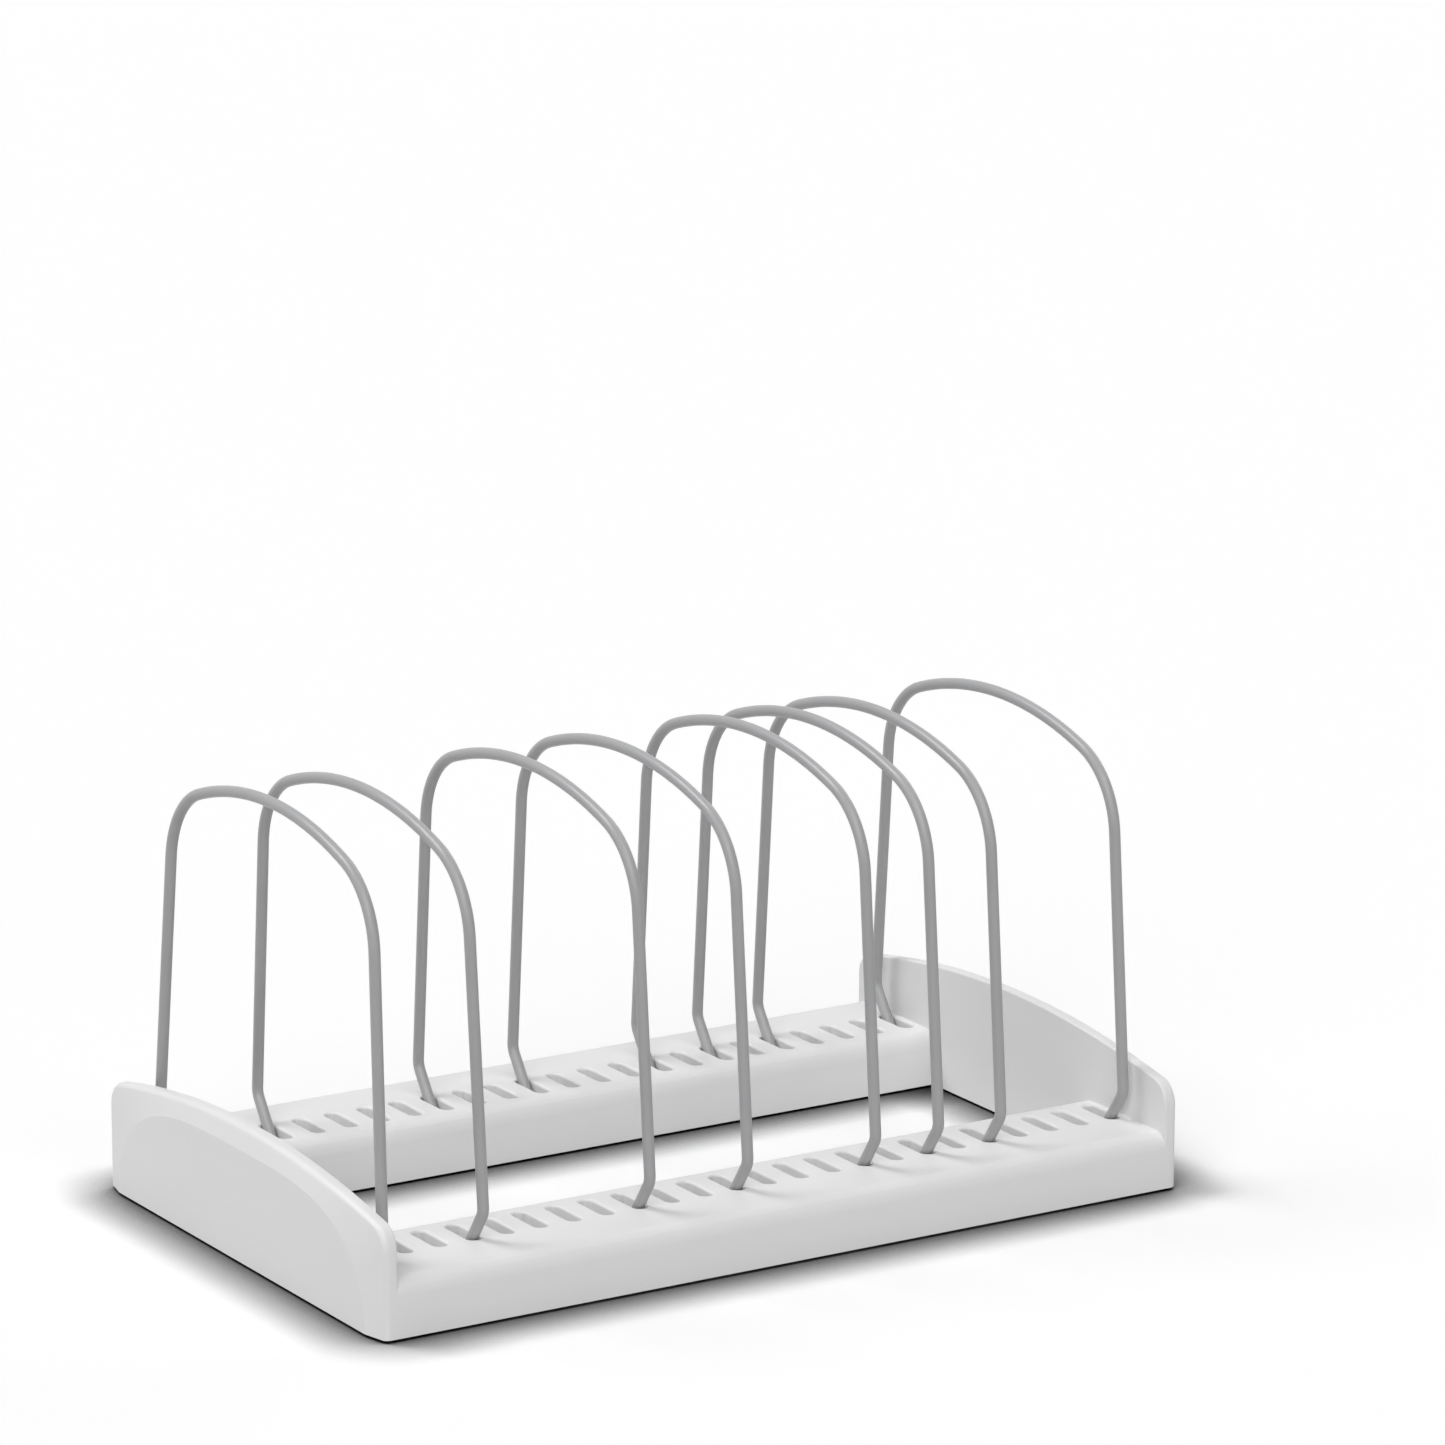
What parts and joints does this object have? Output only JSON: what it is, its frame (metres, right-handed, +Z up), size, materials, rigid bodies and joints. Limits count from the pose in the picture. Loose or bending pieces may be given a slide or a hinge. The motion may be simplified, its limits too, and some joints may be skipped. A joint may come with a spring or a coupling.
{
  "type": "pot lid rack",
  "caption": "Countertop rack that stands pot lids, pans and boards on edge: a white moulded frame with slotted rails and arched end caps, and bent wire dividers that plug into the slots.",
  "frame": {"origin": "on the table, under the middle of the frame", "axes": "+X along the rails, from the end cap whose wire stands in the first slot to the other end cap; +Y from the front rail to the back rail; +Z up"},
  "size_m": [0.315, 0.195, 0.159],
  "materials": {
    "frame_plastic": "satin",
    "wire_coating": "satin",
    "foot_rubber": "matte"
  },
  "bodies": {
    "root": {"base_frame": "frame_plastic", "wire_divider_1": "wire_coating", "wire_divider_2": "wire_coating", "wire_divider_3": "wire_coating", "wire_divider_4": "wire_coating", "wire_divider_5": "wire_coating", "wire_divider_6": "wire_coating", "wire_divider_7": "wire_coating", "wire_divider_8": "wire_coating", "foot_pad_1": "foot_rubber", "foot_pad_2": "foot_rubber", "foot_pad_3": "foot_rubber", "foot_pad_4": "foot_rubber"}
  },
  "joints": []
}
